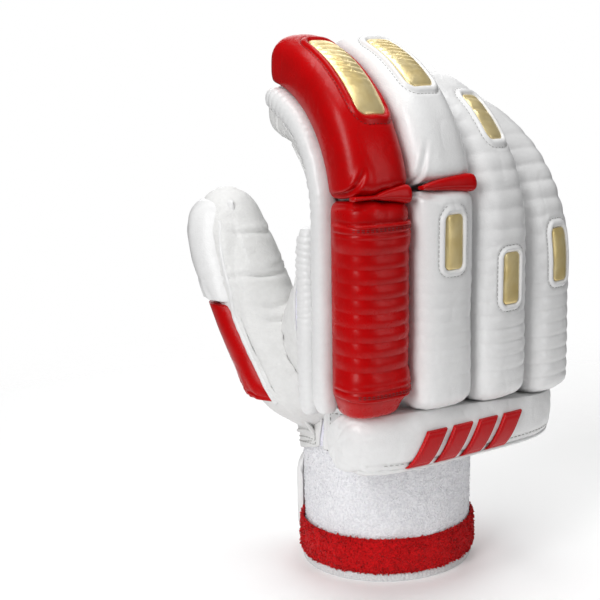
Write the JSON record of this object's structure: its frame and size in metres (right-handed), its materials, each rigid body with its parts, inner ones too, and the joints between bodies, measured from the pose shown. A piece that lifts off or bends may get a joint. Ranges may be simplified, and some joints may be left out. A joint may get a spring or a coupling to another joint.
{
  "type": "cricket batting glove",
  "caption": "Padded batting glove for the right hand with sausage rolls over the fingers, a capped thumb, a wrist bar and an open towelling cuff.",
  "frame": {"origin": "on the floor, under the middle of the glove's overall width and depth", "axes": "+Z from the cuff to the fingertips, -Y the padded back of the hand, +Y the palm, -X the thumb side"},
  "size_m": [0.1538, 0.1374, 0.2647],
  "materials": {
    "white_leather": "smooth, semi-gloss, padded",
    "palm_leather": "soft, creased, satin",
    "red_leather": "smooth, glossy, padded",
    "gold_film": "metallic film, creased",
    "mesh_fabric": "open knitted mesh",
    "towelling_white": "looped towelling",
    "towelling_red": "looped towelling",
    "lining": "woven binding"
  },
  "bodies": {
    "root": {"back_shell": "white_leather", "middle_lower_roll": "white_leather", "middle_upper_roll": "white_leather", "ring_roll": "white_leather", "little_roll": "white_leather", "thumb_upper_pad": "white_leather", "side_bar_long": "white_leather", "side_bar_short": "white_leather", "side_panel": "white_leather", "wrist_bar": "white_leather", "wrist_strap": "white_leather", "palm_leather": "palm_leather", "palm_patch": "palm_leather", "thumb_leather": "palm_leather", "index_cap": "palm_leather", "middle_cap": "palm_leather", "ring_cap": "palm_leather", "little_cap": "palm_leather", "index_lower_roll": "red_leather", "index_upper_roll": "red_leather", "index_knuckle_insert": "red_leather", "middle_knuckle_insert": "red_leather", "thumb_lower_pad": "red_leather", "bar_lozenge_1": "red_leather", "bar_lozenge_2": "red_leather", "bar_lozenge_3": "red_leather", "bar_lozenge_4": "red_leather", "index_gold_bar": "gold_film", "middle_gold_bar_upper": "gold_film", "middle_gold_bar_lower": "gold_film", "ring_gold_bar_upper": "gold_film", "ring_gold_bar_lower": "gold_film", "little_gold_bar": "gold_film", "gusset_thumb_side": "mesh_fabric", "gusset_index_middle": "mesh_fabric", "gusset_middle_ring": "mesh_fabric", "gusset_ring_little": "mesh_fabric", "gusset_little_side": "mesh_fabric", "cuff": "towelling_white", "cuff_band": "towelling_red", "cuff_hem": "lining"}
  },
  "joints": []
}
